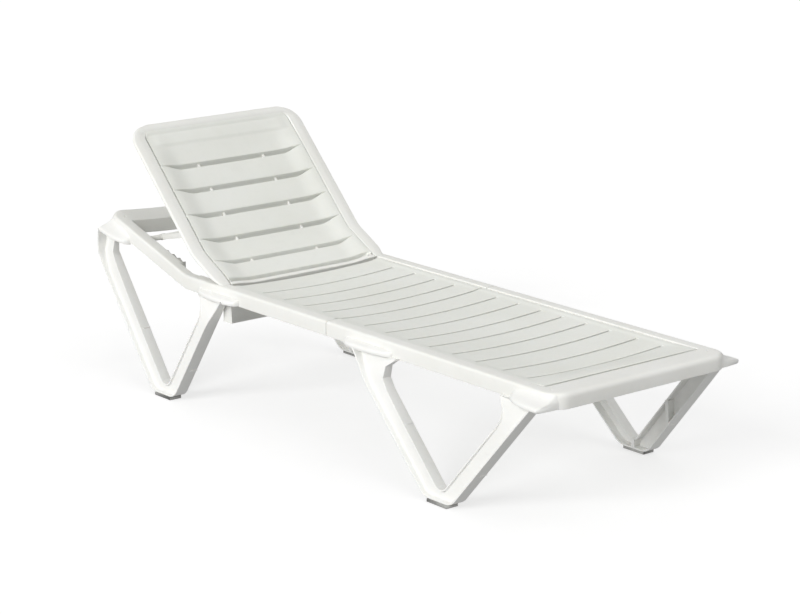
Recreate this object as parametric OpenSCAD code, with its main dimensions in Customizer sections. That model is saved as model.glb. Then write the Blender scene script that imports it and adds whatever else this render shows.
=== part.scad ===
// Reclining sun lounger: a moulded frame in two halves on four V-shaped legs,
// inset slatted deck panels, and a slatted backrest held by a prop on two racks.
// Millimetres. X is the width, -Y is the foot end, +Y the head end, Z is up and the
// ground is at Z = 0. Left is -X and right is +X, seen from the foot end.

/* [Frame] */
// Overall length from foot end to head end
frame_l = 1930; // [1880:10:1980]
// Width over the side rails
frame_w = 596; // [580:4:616]
// Height of the rail tops above the ground
seat_h = 355; // [345:5:375]
// Depth of the rails
rail_d = 40; // [36:1:44]
// Width of a side rail
rail_w = 36; // [34:1:38]
// Width of the foot end rail
foot_rail_w = 74; // [66:2:80]
// Width of the head end cross member
head_rail_w = 75; // [68:1:78]
// Radius of the frame corners in plan
corner_r = 48; // [36:2:56]
// Wall thickness of the mouldings
wall = 4.5; // [4:0.5:5]
// Distance of the joint between the frame halves from the middle, towards the foot
seam_offset = 78; // [74:1:80]
// Where the head part of the frame starts to rise, from the middle
kink_y = 570; // [560:5:580]
// Slope of the raised head part, degrees
kink_a = 17; // [16:0.5:17.5]

/* [Deck] */
// Distance from one slat to the next
slat_pitch = 90; // [88:1:90]
// Open gap between two slats
slat_gap = 8; // [6:1:10]
// Thickness of a slat
slat_t = 6; // [5:0.5:7]
// How far the deck slats sag in the middle
deck_dish = 11; // [8:1:12]
// How far the deck border lies below the rail tops
deck_recess = 3; // [2:0.5:4]

/* [Legs] */
// Width over the outer edges of the feet
foot_spread = 720; // [700:4:730]
// Depth of the flange round the outside of each leg
flange_w = 40; // [38:1:42]
// Width of a leg limb
limb_w = 50; // [46:1:54]
// Thickness of the leg's web plate
web_t = 4; // [4:0.5:5]
// Depth of the lip round the leg's opening
lip_w = 32; // [28:1:34]
// Height of a glide pad
pad_h = 8; // [7:0.5:9]

/* [Backrest] */
// Height of the hinge pin above the ground, below the rail tops
hinge_drop = 17; // [16:0.5:18]
// Distance of the hinge pin from the middle, towards the head
hinge_y = 426; // [424:1:428]
// Opening of the backrest as modelled, degrees up from its lowest position
back_open = 27.5; // [27:0.25:28]
// Length of the backrest's lower, flatter part
back_lower_l = 133; // [130:1:134]
// Length of the backrest's upper part
back_upper_l = 442; // [430:2:446]
// Bend between the two parts, degrees
back_bend = 17.5; // [17.5:0.25:18]
// Width of the backrest's rim
rim_w = 44; // [42:1:46]
// Thickness of the rim
rim_t = 10; // [9:0.5:10]
// Open gap between two backrest slats
back_gap = 12; // [10:1:14]

/* [Prop] */
// Distance of the prop's bar from the middle, towards the head
bar_y = 800; // [796:1:804]
// Height of the prop's bar
bar_z = 412; // [410:1:414]
// Length of the prop between its pins and its bar
prop_l = 208; // [206:1:210]
// Radius of the prop's bar
bar_r = 8; // [7:0.5:8]
// Teeth along each rack
rack_teeth = 8; // [6:1:9]

/* [Hidden] */
$fn = 48;

white = "#f4f4ef";
pad_grey = "#4a4a48";
zinc = "#b9bcc0";

half_l = frame_l / 2;
half_w = frame_w / 2;
rail_in = half_w - rail_w;
seam_y = -seam_offset;
rail_bottom = seat_h - rail_d;
head_rise = tan(kink_a);
corner_hole_x = 30;
corner_hole_y = 51;
rail_slot_y = 539;
rail_slot_l = 93;
rail_slot_d = 15;
head_dish = 14;
head_dish_a = 23;
big = 1000;

// Deck panels
deck_half_w = rail_in - 2.5;
deck_border = 19;
deck_border_t = 12;
deck_top = seat_h - deck_recess;
ledge_w = 12;
ledge_t = 6;
slat_half_w = deck_half_w - deck_border;
deck_split_gap = 5;
deck_split_y = seam_y + 16;
deck_foot_y = -half_l + foot_rail_w + 9;
deck_head_y = hinge_y - 35;
foot_slats = 9;
head_slats = 5;
stringer_x = 115;
stringer_w = 7;
stringer_d = 12;

// Legs: each outline runs from the top of the limb towards the middle or the head, down
// to the foot and up to the top of the other limb
leg_top = seat_h - 25;
front_leg = [[-half_l + 760, leg_top], [-half_l + 415, pad_h],
    [-half_l + 310, pad_h], [-half_l + 35, leg_top]];
rear_leg = [[half_l - 34, leg_top], [half_l - 305, pad_h],
    [half_l - 413, pad_h], [half_l - 613, leg_top]];
leg_head_y = half_l - 8;
head_sink = 12;
shoulder_in = 5;
foot_shoulder_l = 96;
mid_shoulder_l = 67;
rear_shoulder_l = 59;
head_shoulder_l = 70;
leg_reach = 180;
apex_r = 46;
opening_r = 26;
flange_t = 5;
lip_t = 4;
web_x = 22;
rib_t = 5;
leg_gap = 0.2;
shoulder_t = 14;
screw_boss_r = 7;
leg_screw_drop = 8.5;
pad_l = 76;
pad_w = 38;

// Backrest, drawn at its lowest position and then opened about the hinge pin
hinge_z = seat_h - hinge_drop;
pin_r = 6;
run_clear = 0.06;
back_top = seat_h + rim_t + 1;
back_lift = back_top - hinge_z;
bend_y = hinge_y + back_lower_l;
rim_in = half_w - rim_w;
panel_half_w = rim_in - 2.5;
back_foot_y = hinge_y - 13;
panel_foot_y = back_foot_y + 14;
header_l = 142;
top_bar_l = 22;
rim_r = 60;
bottom_bar_l = 12;
bottom_bar_d = 20;
back_screw_r = 1.6;
back_pitch = 85;
back_slats = 5;
back_dish = 9;
channel_x = 226;
channel_w = 14;
channel_d = 22;
lug_r = 14;

// Prop and racks
rack_dir = atan2(bar_z - hinge_z, bar_y - hinge_y);
bar_reach = norm([bar_y - hinge_y, bar_z - hinge_z]);
prop_fold = acos(bar_reach / 2 / prop_l);
prop_pin_a = rack_dir + prop_fold;
prop_pin_pos = [hinge_y + prop_l * cos(prop_pin_a), hinge_z + prop_l * sin(prop_pin_a)];
prop_pin_r = 5;
arm_x = 208;
arm_w = 12;
arm_h = 16;
rack_x = rail_in - 19;
rack_w = 18.5;
rack_foot = 220;
rack_head = 456;
rack_clear = 0.6;
tooth_d = 6;

// ---------- helpers ----------

// Points of an arc about c with radius r from angle a0 to a1
function arc(c, r, a0, a1, n = 8) =
    [for (i = [0 : n]) let (a = a0 + (a1 - a0) * i / n) [c[0] + r * cos(a), c[1] + r * sin(a)]];

// Arc points that round the corner at p between the points a and b
function corner(a, p, b, r, n = 8) =
    let (u = (a - p) / norm(a - p), v = (b - p) / norm(b - p), half = acos(u * v) / 2,
         c = p + (u + v) / norm(u + v) * r / sin(half), t0 = p + u * r / tan(half),
         t1 = p + v * r / tan(half), a0 = atan2(t0[1] - c[1], t0[0] - c[0]),
         a1 = atan2(t1[1] - c[1], t1[0] - c[0]), turn = (a1 - a0 + 540) % 360 - 180)
    arc(c, r, a0, a0 + turn, n);

// Where two lines meet, each given by a point and a direction
function meet(p, u, q, v) =
    let (w = q - p, d = u[0] * v[1] - u[1] * v[0])
    p + u * (w[0] * v[1] - w[1] * v[0]) / d;

// A line's point moved sideways by d, to the left of its direction
function beside(p, u, d) = p + [-u[1], u[0]] / norm(u) * d;

// Extrudes a side view drawn as [Y, Z] between two X positions
module side_view(x0, x1)
{
    translate([x0, 0, 0])
        rotate([90, 0, 90])
            linear_extrude(height = x1 - x0)
                children();
}

// Draws its children on the left and mirrored on the right
module both_sides()
{
    children();
    mirror([1, 0, 0])
        children();
}

// Plan outline of the frame, with rounded corners at both ends
module plan_outline(inset = 0)
{
    w = half_w - inset;
    l = half_l - inset;
    r = corner_r - inset;
    union()
    {
        square([2 * w, 2 * (l - r)], center = true);
        square([2 * (w - r), 2 * l], center = true);
        for (x = [-1, 1], y = [-1, 1])
            translate([x * (w - r), y * (l - r)])
                circle(r = r);
    }
}

// ---------- frame ----------

// Foot half: side rails and foot end rail, hollow from below, with a ledge for the deck
module foot_frame()
{
    rib_step = 145;
    end_rib_step = 105;
    rib_w = 3;
    first_rib = -half_l + foot_rail_w + 40;
    color(white)
    difference()
    {
        union()
        {
            difference()
            {
                translate([0, 0, rail_bottom])
                    linear_extrude(height = rail_d)
                        intersection()
                        {
                            plan_outline();
                            translate([-half_w, -half_l])
                                square([frame_w, half_l + seam_y]);
                        }
                translate([0, 0, rail_bottom - 1])
                    linear_extrude(height = rail_d + 1 - wall)
                        intersection()
                        {
                            plan_outline(wall);
                            translate([-half_w, -half_l])
                                square([frame_w, half_l + seam_y + 1]);
                        }
            }
            both_sides()
                translate([-rail_in - wall, -half_l + foot_rail_w, rail_bottom])
                    cube([wall, half_l - foot_rail_w + seam_y, rail_d]);
            translate([-rail_in - wall, -half_l + foot_rail_w - wall, rail_bottom])
                cube([2 * (rail_in + wall), wall, rail_d]);
            both_sides()
                for (i = [0 : 4])
                    translate([-half_w + wall - 1, first_rib + i * rib_step, rail_bottom + 8])
                        cube([rail_w - 2 * wall + 2, rib_w, rail_d - 9]);
            for (i = [-2 : 2])
                translate([i * end_rib_step - rib_w / 2, -half_l + wall - 1, rail_bottom + 8])
                    cube([rib_w, foot_rail_w - 2 * wall + 2, rail_d - 9]);
        }
        translate([-rail_in, -half_l + foot_rail_w, rail_bottom - 1])
            cube([2 * rail_in, half_l, rail_d + 2]);
        both_sides()
        {
            joint_holes(seam_y - 40);
            leg_holes(front_leg);
            corner_hole(-half_l + corner_hole_y, seat_h);
        }
    }
    color(white)
    both_sides()
        difference()
        {
            translate([-rail_in - 1, -half_l + foot_rail_w + 20, deck_top - deck_border_t - ledge_t])
                cube([ledge_w + 1, half_l - foot_rail_w - 20 + seam_y, ledge_t]);
            deck_holes(foot_deck_screw_y, deck_top - deck_border_t - ledge_t - 1, 2.2);
        }
}

// Screw holes through a rail's inner wall at the joint between the frame halves
module joint_holes(y)
{
    translate([-rail_in - wall - 1, y, seat_h - rail_d / 2])
        rotate([0, 90, 0])
            cylinder(h = wall + 2, r = 3);
}

// Screw holes through a rail's outer wall into the top of a leg
module leg_holes(p)
{
    for (at = leg_screws_at(p))
        translate([-half_w - 1, at[0], at[1]])
            rotate([0, 90, 0])
                cylinder(h = wall + 2, r = 3);
}

// Small drain hole through the top wall at a frame corner
module corner_hole(y, z)
{
    translate([-half_w + corner_hole_x, y, z - 12])
        cylinder(h = 24, r = 3);
}

// Space below the dished top of the head cross member, lowered by drop
module under_dish(drop)
{
    steps = 16;
    edge = [for (i = [-steps : steps])
        [half_w * i / steps, head_dish * pow(half_w * i / steps / rail_in, 2)]];
    ridge_y = half_l - 25;
    translate([0, ridge_y, seat_h + (ridge_y - kink_y) * head_rise - head_dish - 2 - drop])
        rotate([head_dish_a, 0, 0])
            rotate([90, 0, 0])
                linear_extrude(height = 400, center = true)
                    polygon(concat([[-half_w, -200]], edge, [[half_w, -200]]));
}

// Side view of a head rail: level, then rising to the head end, from Y = from on
module head_rail_view(inset = 0, open_bottom = 0, from = -big)
{
    intersection()
    {
        head_rail_outline(inset, open_bottom);
        translate([from, 0])
            square([2 * big, big]);
    }
}

module head_rail_outline(inset, open_bottom)
{
    rise = [cos(kink_a), sin(kink_a)];
    top0 = [seam_y - open_bottom, seat_h - inset];
    bend = meet(top0, [1, 0], [kink_y, seat_h] - [-rise[1], rise[0]] * inset, rise);
    end = half_l - inset;
    top1 = [end, bend[1] + (end - bend[0]) * head_rise];
    low = rail_d - 2 * inset + inset + open_bottom;
    polygon(concat(
        [top0, bend],
        corner(bend, top1, top1 - [0, 30], 22 - inset),
        [top1 - [0, low], bend - [-3, low], top0 - [0, low]]));
}

// Head half: rails that rise towards the head end, hollow from below, and a cross member
module head_frame()
{
    boss_r = 13;
    rib_step = 120;
    end_rib_step = 105;
    rib_w = 3;
    face_y = half_l - head_rail_w;
    color(white)
    difference()
    {
        union()
        {
            intersection()
            {
                union()
                {
                    both_sides()
                        difference()
                        {
                            side_view(-half_w, -rail_in)
                                head_rail_view();
                            side_view(-half_w + wall, -rail_in - wall)
                                head_rail_view(wall, 1);
                        }
                    difference()
                    {
                        intersection()
                        {
                            side_view(-rail_in - 1, rail_in + 1)
                                head_rail_view(0, 0, face_y);
                            under_dish(0);
                        }
                        intersection()
                        {
                            side_view(-rail_in - 2, rail_in + 2)
                                head_rail_view(wall, 1, face_y + wall);
                            under_dish(wall);
                        }
                    }
                    intersection()
                    {
                        for (i = [-2 : 2])
                            side_view(i * end_rib_step - rib_w / 2, i * end_rib_step + rib_w / 2)
                                head_rail_view(1, 0, face_y + 1);
                        under_dish(1);
                    }
                    both_sides()
                        side_view(-rail_in - wall, -rail_in)
                            head_rail_view();
                }
                translate([0, 0, rail_bottom - 50])
                    linear_extrude(height = 400)
                        plan_outline();
            }
            both_sides()
                translate([-half_w + 1, hinge_y, hinge_z])
                    rotate([0, 90, 0])
                        cylinder(h = rail_w - 1, r = boss_r);
            both_sides()
                for (i = [0 : 2])
                    translate([-half_w + wall - 1, seam_y + 90 + i * rib_step, rail_bottom + 8])
                        cube([rail_w - 2 * wall + 2, 3, rail_d - 9]);
        }
        both_sides()
            translate([-half_w + wall, hinge_y, hinge_z])
                rotate([0, 90, 0])
                    cylinder(h = rail_w, r = pin_r);
        both_sides()
        {
            joint_holes(seam_y + 40);
            leg_holes(rear_leg);
            rack_holes(2);
            corner_hole(half_l - corner_hole_y, seat_h + (half_l - corner_hole_y - kink_y) * head_rise);
            side_view(-rail_in - wall - 2, -rail_in + 1)
                rail_slot();
        }
    }
    color(white)
    both_sides()
        difference()
        {
            translate([-rail_in - 1, seam_y, deck_top - deck_border_t - ledge_t])
                cube([ledge_w + 1, deck_head_y - seam_y - 8, ledge_t]);
            deck_holes(head_deck_screw_y, deck_top - deck_border_t - ledge_t - 1, 2.2);
        }
}

// Side view of the notch in the rail's inner wall, under the backrest's rim
module rail_slot()
{
    end = rail_slot_y + rail_slot_l;
    rise = (end - kink_y) * head_rise;
    polygon([[rail_slot_y, seat_h + 5], [rail_slot_y, seat_h - rail_slot_d],
        [kink_y, seat_h - rail_slot_d], [end, seat_h - rail_slot_d + rise], [end, seat_h + rise + 5]]);
}

// Beam across the frame between the rear legs, open from below
module rear_cross_beam()
{
    beam_y = half_l - 621;
    beam_w = 40;
    beam_d = 54;
    color(white)
    difference()
    {
        translate([-half_w - 2, beam_y, rail_bottom - beam_d])
            cube([frame_w + 4, beam_w, beam_d - leg_gap]);
        for (i = [-2 : 2])
            translate([(i - 0.5) * 119 + 1.5, beam_y + wall, rail_bottom - beam_d - 1])
                cube([116, beam_w - 2 * wall, beam_d - wall]);
    }
}

// ---------- deck ----------

foot_deck_screw_y = [for (i = [0 : 4]) deck_foot_y + 90 + i * 160];
head_deck_screw_y = [for (i = [0 : 2]) deck_split_y + 70 + i * 150];

// Vertical screw holes down a side border
module deck_holes(ys, z, r)
{
    for (y = ys)
        translate([-deck_half_w + deck_border / 3, y, z])
            cylinder(h = ledge_t + 9, r = r);
}

// Cross-section [X, Z] of a slat that sags by dish in the middle
module slat_section(half, dish, t)
{
    steps = 16;
    top = [for (i = [-steps : steps]) [half * i / steps, -dish * (1 - pow(i / steps, 2))]];
    polygon(concat(top, [for (i = [steps : -1 : -steps]) top[i + steps] - [0, t]]));
}

// One slat between two Y positions
module slat(y0, y1, dish)
{
    translate([0, y1, 0])
        rotate([90, 0, 0])
            linear_extrude(height = y1 - y0)
                slat_section(slat_half_w + 1, dish, slat_t);
}

// A slatted deck panel from y0 to y1 with side borders and two stringers; first_dish is the
// depth of its last slat
module deck_panel(y0, y1, count, first_dish, screws)
{
    shift = slat_shift(y0, y1, count);
    stringer_z = deck_top - deck_dish - slat_t - stringer_d + 3;
    difference()
    {
        union()
        {
            both_sides()
                translate([-deck_half_w, y0, deck_top - deck_border_t])
                    cube([deck_border, y1 - y0, deck_border_t]);
            for (x = [-1, 1])
                translate([x * stringer_x - stringer_w / 2, y0 + 2, stringer_z])
                    cube([stringer_w, y1 - y0 - 4, stringer_d]);
            for (i = [0 : count - 1])
            {
                high = i == 0 ? y1 : y1 - i * slat_pitch + shift;
                low = i == count - 1 ? y0 : y1 - (i + 1) * slat_pitch + slat_gap + shift;
                translate([0, 0, deck_top - 1])
                    slat(low, high, i == count - 1 ? first_dish : deck_dish);
            }
        }
        both_sides()
            deck_holes(screws, deck_top - deck_border_t - 1, 1.6);
    }
}

// Half the length that is left over when count slats stand at the pitch
function slat_shift(y0, y1, count) = (count * slat_pitch - (y1 - y0) - slat_gap) / 2;

module foot_deck()
{
    color(white)
        deck_panel(deck_foot_y, deck_split_y - deck_split_gap, foot_slats, deck_dish / 2, foot_deck_screw_y);
}

module head_deck()
{
    color(white)
        deck_panel(deck_split_y + deck_split_gap, deck_head_y, head_slats, deck_dish, head_deck_screw_y);
}

// ---------- legs ----------

// Leans its children outwards, about a line at height top on the rail's side, so that the
// outer edge reaches the foot spread at the ground
module leaned(top)
{
    lean = atan((foot_spread / 2 - flange_w - half_w - leg_gap) / top);
    translate([-half_w - leg_gap, 0, top])
        rotate([0, lean, 0])
            translate([0, 0, -top])
                children();
}

// The line of a limb's outer edge, moved in by d: [point, direction down]
function limb_line(p, first, d) =
    let (top = first ? p[0] : p[3], foot = first ? p[1] : p[2])
    [beside(top, foot - top, first ? -d : d), (foot - top) / norm(foot - top)];

// Side view of the V filled in, moved in by d from its outline
module v_fill(p, d, r)
{
    a = limb_line(p, true, d);
    b = limb_line(p, false, d);
    level = p[1] + [0, d];
    foot_a = meet(a[0], a[1], level, [1, 0]);
    foot_b = meet(b[0], b[1], level, [1, 0]);
    top_a = a[0] - a[1] * leg_reach;
    top_b = b[0] - b[1] * leg_reach;
    intersection()
    {
        polygon(concat([top_a], corner(top_a, foot_a, foot_b, r), corner(foot_a, foot_b, top_b, r), [top_b]));
        translate([-big, 0])
            square([big + leg_head_y - d, big]);
    }
}

// Side view of the leg's opening, whose sides stand limb_w in; grow widens the V
module v_opening(p, grow, r)
{
    a = limb_line(p, true, limb_w - grow);
    b = limb_line(p, false, limb_w - grow);
    tip = meet(a[0], a[1], b[0], b[1]);
    top_a = a[0] - a[1] * leg_reach;
    top_b = b[0] - b[1] * leg_reach;
    polygon(concat([top_a], corner(top_a, tip, top_b, r), [top_b]));
}

// Height of the legs' top line, which follows the rail
function leg_line(y) =
    leg_top + (y > kink_y ? (y - kink_y) * (head_rise - head_sink / (half_l - kink_y)) : 0);

// Side view of all that lies below the legs' top line
module below_leg_line()
{
    polygon([[-half_l, 0], [half_l, 0], [half_l, leg_line(half_l)], [kink_y, leg_top], [-half_l, leg_top]]);
}

// One V leg: web plate, flange round the outside, lip round the opening, ribs inboard
module v_leg(p, lean_top)
{
    difference()
    {
        union()
        {
            leaned(lean_top)
                intersection()
                {
                    union()
                    {
                        side_view(-web_x - web_t, -web_x)
                            difference()
                            {
                                v_fill(p, 1, apex_r - 1);
                                v_opening(p, 1, opening_r + 1);
                            }
                        side_view(-flange_w, 0)
                            difference()
                            {
                                v_fill(p, 0, apex_r);
                                v_fill(p, flange_t, apex_r - flange_t);
                            }
                        side_view(-lip_w, 0)
                            difference()
                            {
                                intersection()
                                {
                                    v_opening(p, lip_t, opening_r + lip_t);
                                    v_fill(p, 1, apex_r - 1);
                                }
                                v_opening(p, 0, opening_r);
                            }
                        side_view(-web_x - 1, -1)
                            difference()
                            {
                                leg_ribs(p);
                                v_opening(p, 1, opening_r + 1);
                            }
                    }
                    side_view(-flange_w - 1, 1)
                        below_leg_line();
                }
            leg_screw_places(p)
                translate([-half_w - web_x - 4, 0, 0])
                    rotate([0, 90, 0])
                        cylinder(h = web_x + 4 - leg_gap, r = screw_boss_r);
        }
        leg_screw_places(p)
            translate([-half_w - web_x, 0, 0])
                rotate([0, 90, 0])
                    cylinder(h = web_x + 3, r = 2.5);
    }
}

// Side view of the upright ribs: one at mid height of each limb and one at the foot
module leg_ribs(p)
{
    for (first = [true, false])
    {
        mid = leg_point(p, first, limb_w / 2, leg_top * 0.42);
        translate([mid[0] - rib_t / 2, mid[1] - limb_w * 0.62])
            square([rib_t, limb_w * 1.24]);
    }
    translate([(p[1][0] + p[2][0]) / 2 - rib_t / 2, p[1][1] + 2])
        square([rib_t, 60]);
}

// The point at height z on the line d inside a limb's outer edge
function leg_point(p, first, d, z) =
    let (line = limb_line(p, first, d)) meet(line[0], line[1], [0, z], [1, 0]);

// The two screw positions of a leg, [Y, Z] near the tops of its limbs
function leg_screws_at(p) =
    [for (first = [true, false])
        let (low = leg_point(p, first, limb_w / 2, leg_top - leg_screw_drop))
        low[0] > kink_y ? [half_l - 45, leg_line(half_l - 45) - leg_screw_drop] : low];

module leg_screw_places(p)
{
    for (at = leg_screws_at(p))
        translate([0, at[0], at[1]])
            children();
}

// Shelf on top of a limb that closes it against the rail's side
module shoulder(y0, y1, width, slope)
{
    translate([-half_w - leg_gap - width, y0, leg_line(y0)])
        rotate([slope, 0, 0])
            translate([0, 0, -shoulder_t])
                cube([width, (y1 - y0) / cos(slope), shoulder_t]);
}

module leg_front_left()
{
    color(white)
    {
        v_leg(front_leg, leg_top);
        foot_y = -half_l + 12;
        mid_y = front_leg[0][0] - shoulder_in;
        shoulder(foot_y, foot_y + foot_shoulder_l, flange_w + 8, 0);
        shoulder(mid_y - mid_shoulder_l, mid_y, flange_w - 3, 0);
    }
}

module leg_front_right()
{
    mirror([1, 0, 0])
        leg_front_left();
}

module leg_rear_left()
{
    color(white)
    {
        v_leg(rear_leg, leg_line(half_l));
        mid_y = rear_leg[3][0] + shoulder_in;
        head_y = half_l - 10;
        slope = atan((leg_line(half_l) - leg_line(kink_y)) / (half_l - kink_y));
        shoulder(mid_y, mid_y + rear_shoulder_l, flange_w, 0);
        shoulder(head_y - head_shoulder_l, head_y, flange_w - 2, slope);
    }
}

module leg_rear_right()
{
    mirror([1, 0, 0])
        leg_rear_left();
}

// Glide pad under the foot of a leg
module glide_pad(p)
{
    mid = (p[1][0] + p[2][0]) / 2;
    rim = 5;
    color(pad_grey)
    difference()
    {
        translate([-foot_spread / 2, mid - pad_l / 2, 0])
            cube([pad_w, pad_l, pad_h]);
        translate([-foot_spread / 2 + rim, mid - pad_l / 2 + rim, pad_h - 3])
            cube([pad_w - 2 * rim, pad_l - 2 * rim, 4]);
    }
}

module pad_front_left()
{
    glide_pad(front_leg);
}

module pad_front_right()
{
    mirror([1, 0, 0])
        glide_pad(front_leg);
}

module pad_rear_left()
{
    glide_pad(rear_leg);
}

module pad_rear_right()
{
    mirror([1, 0, 0])
        glide_pad(rear_leg);
}

// ---------- racks and fasteners ----------

// Places its children on the rack line, at a distance from the hinge pin
module on_rack_line(s)
{
    translate([0, hinge_y + s * cos(rack_dir), hinge_z + s * sin(rack_dir)])
        rotate([rack_dir, 0, 0])
            children();
}

// Side view of a rack: a toothed top just below the bar's path, a foot along the rail
module rack_view()
{
    line = [cos(rack_dir), sin(rack_dir)];
    side = [-line[1], line[0]];
    hinge = [hinge_y, hinge_z];
    tip = -(bar_r + rack_clear);
    step = (rack_head - rack_foot) / rack_teeth;
    teeth = [for (i = [0 : rack_teeth - 1], k = [0, 1])
        let (s = rack_foot + i * step + k * step * 0.45)
        hinge + line * s + side * (tip - (k == 0 ? 0 : tooth_d))];
    low0 = rail_bottom + 3 + max(0, (teeth[0][0] - kink_y) * head_rise);
    last = hinge + line * rack_head + side * tip;
    low1 = rail_bottom + 3 + (last[0] - kink_y) * head_rise;
    polygon(concat(teeth, [last, [last[0], low1], [teeth[0][0], low0]]));
}

// Screw holes through a rack and the rail's inner wall
module rack_holes(r)
{
    for (s = [rack_foot + 30, (rack_foot + rack_head) / 2 - 20])
        translate([-rail_in - wall - 1, 0, 0])
            on_rack_line(s)
                translate([0, 0, -24])
                    rotate([0, 90, 0])
                        cylinder(h = rack_w - 2, r = r);
}

module rack()
{
    color(white)
    difference()
    {
        side_view(-rail_in, -rail_in + rack_w)
            rack_view();
        rack_holes(2);
    }
}

module rack_left()
{
    rack();
}

module rack_right()
{
    mirror([1, 0, 0])
        rack();
}

// Screws that hold the racks, driven from inside the hollow rails
module rack_screws()
{
    color(zinc)
    both_sides()
        for (s = [rack_foot + 30, (rack_foot + rack_head) / 2 - 20])
            translate([-rail_in - wall, 0, 0])
                on_rack_line(s)
                    translate([0, 0, -24])
                        rotate([0, 90, 0])
                            screw(2, 14, 4.5);
}

// A pan-head screw: head below zero, shank from zero upwards
module screw(r, length, head_r)
{
    cylinder(h = length, r = r);
    translate([0, 0, -r])
        cylinder(h = r, r = head_r);
}

// Block inside the rail that joins the two frame halves
module spigot()
{
    gap = 1;
    spigot_l = 120;
    color(white)
    difference()
    {
        translate([-half_w + wall + gap, seam_y - spigot_l / 2, rail_bottom + 6])
            cube([rail_w - 2 * wall - gap, spigot_l, rail_d - wall - 8]);
        for (y = [-40, 40])
            translate([-half_w + wall + 8, seam_y + y, seat_h - rail_d / 2])
                rotate([0, 90, 0])
                    cylinder(h = rail_w, r = 3);
    }
}

module spigot_left()
{
    spigot();
}

module spigot_right()
{
    mirror([1, 0, 0])
        spigot();
}

// Screws through the rails' inner walls into the spigots
module joint_screws()
{
    color(zinc)
    both_sides()
        for (y = [-40, 40])
            translate([-rail_in - 0.6, seam_y + y, seat_h - rail_d / 2])
                rotate([0, -90, 0])
                    screw(3, 20, 5.5);
}

// Screws that hold the legs, driven through the rails' outer walls from inside
module leg_screws()
{
    color(zinc)
    both_sides()
        for (p = [front_leg, rear_leg], at = leg_screws_at(p))
            translate([-half_w + wall, at[0], at[1]])
                rotate([0, -90, 0])
                    screw(2.5, wall + web_x - 1, 5);
}

// Screws up through the frame's ledges into the deck borders
module deck_screws()
{
    color(zinc)
    both_sides()
        for (y = concat(foot_deck_screw_y, head_deck_screw_y))
            translate([-deck_half_w + deck_border / 3, y, deck_top - deck_border_t - ledge_t])
                screw(1.6, ledge_t + 7, 3.5);
}

// Hinge pin, pressed into the rail and carrying the backrest's lug
module hinge_pin()
{
    color(zinc)
        translate([-half_w + wall, hinge_y, hinge_z])
            rotate([0, 90, 0])
                cylinder(h = half_w - wall - channel_x + 4, r = pin_r);
}

module hinge_pin_left()
{
    hinge_pin();
}

module hinge_pin_right()
{
    mirror([1, 0, 0])
        hinge_pin();
}

// ---------- backrest ----------

// Opens its children from the lowest position to the modelled one
module opened()
{
    translate([0, hinge_y, hinge_z])
        rotate([back_open, 0, 0])
            translate([0, -hinge_y, -hinge_z])
                children();
}

// A point on the backrest's top line, v along the upper part and d below it
function back_point(v, d = 0) =
    let (a = v < 0 ? 0 : back_bend)
    [bend_y + v * cos(a) + d * sin(a), back_top + v * sin(a) - d * cos(a)];

// Side view of a bent strip from v0 to v1, lying d below the top line and t thick
module bent_strip(v0, v1, d, t)
{
    mid = tan(back_bend / 2);
    polygon([back_point(v0, d), [bend_y + d * mid, back_top - d], back_point(v1, d),
        back_point(v1, d + t), [bend_y + (d + t) * mid, back_top - d - t], back_point(v0, d + t)]);
}

// Rim, top and bottom bars, channels between the rails, and the hinge lugs
module back_frame()
{
    foot_v = back_foot_y - bend_y;
    channel_end = back_upper_l - header_l + 30;
    plate_d = rim_t + 4;
    color(white)
    opened()
    difference()
    {
        union()
        {
            difference()
            {
                side_view(-half_w, half_w)
                    bent_strip(foot_v, back_upper_l, 0, rim_t);
                side_view(-rim_in, rim_in)
                    bent_strip(foot_v + bottom_bar_l, back_upper_l - top_bar_l, -5, rim_t + 10);
                both_sides()
                    rim_corner();
            }
            side_view(-rim_in + 6, rim_in - 6)
                bent_strip_part(back_upper_l - top_bar_l + 0.6, back_upper_l - 4, 2, rim_t + 2);
            side_view(-rim_in - 1, rim_in + 1)
                polygon([back_point(foot_v + 0.6, 4), back_point(foot_v + bottom_bar_l - 0.6, 4),
                    back_point(foot_v + bottom_bar_l - 0.6, bottom_bar_d),
                    back_point(foot_v + bottom_bar_l / 2, bottom_bar_d)]);
            both_sides()
            {
                side_view(-channel_x - channel_w, -channel_x)
                    bent_strip(foot_v + 2, channel_end, plate_d + 0.5, channel_d - plate_d - 0.5);
                side_view(-rim_in - 1, -channel_x - 1)
                    bent_strip(foot_v + 3, channel_end - 1, plate_d, 5);
                side_view(-rim_in - 2, -rim_in + 1.5)
                    bent_strip(foot_v + 16, channel_end - 3, 2, plate_d);
                translate([-channel_x - channel_w + 0.5, hinge_y, hinge_z])
                    rotate([0, 90, 0])
                        cylinder(h = channel_w + 0.5, r = lug_r);
                side_view(-channel_x - channel_w + 1, -channel_x - 1)
                    translate([hinge_y - lug_r + 2, hinge_z])
                        square([2 * lug_r - 4, back_lift - 15]);
                prop_boss();
            }
        }
        both_sides()
        {
            translate([-half_w, hinge_y, hinge_z])
                rotate([0, 90, 0])
                    cylinder(h = half_w - channel_x + 5, r = pin_r + run_clear);
            toe_cut();
            prop_bore(prop_pin_r);
            back_holes(back_screw_r);
        }
    }
}

// Waste outside the rounded corner of the rim's head end
module rim_corner()
{
    translate([0, bend_y, back_top])
        rotate([back_bend, 0, 0])
            translate([-half_w, back_upper_l, -rim_t - 10])
                linear_extrude(height = rim_t + 20)
                    difference()
                    {
                        translate([-10, -rim_r])
                            square([rim_r + 10, rim_r + 10]);
                        translate([rim_r, -rim_r])
                            circle(r = rim_r + 0.6);
                    }
}

// Straight piece of the upper part, from v0 to v1
module bent_strip_part(v0, v1, d, t)
{
    polygon([back_point(v0, d), back_point(v1, d), back_point(v1, d + t), back_point(v0, d + t)]);
}

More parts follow.
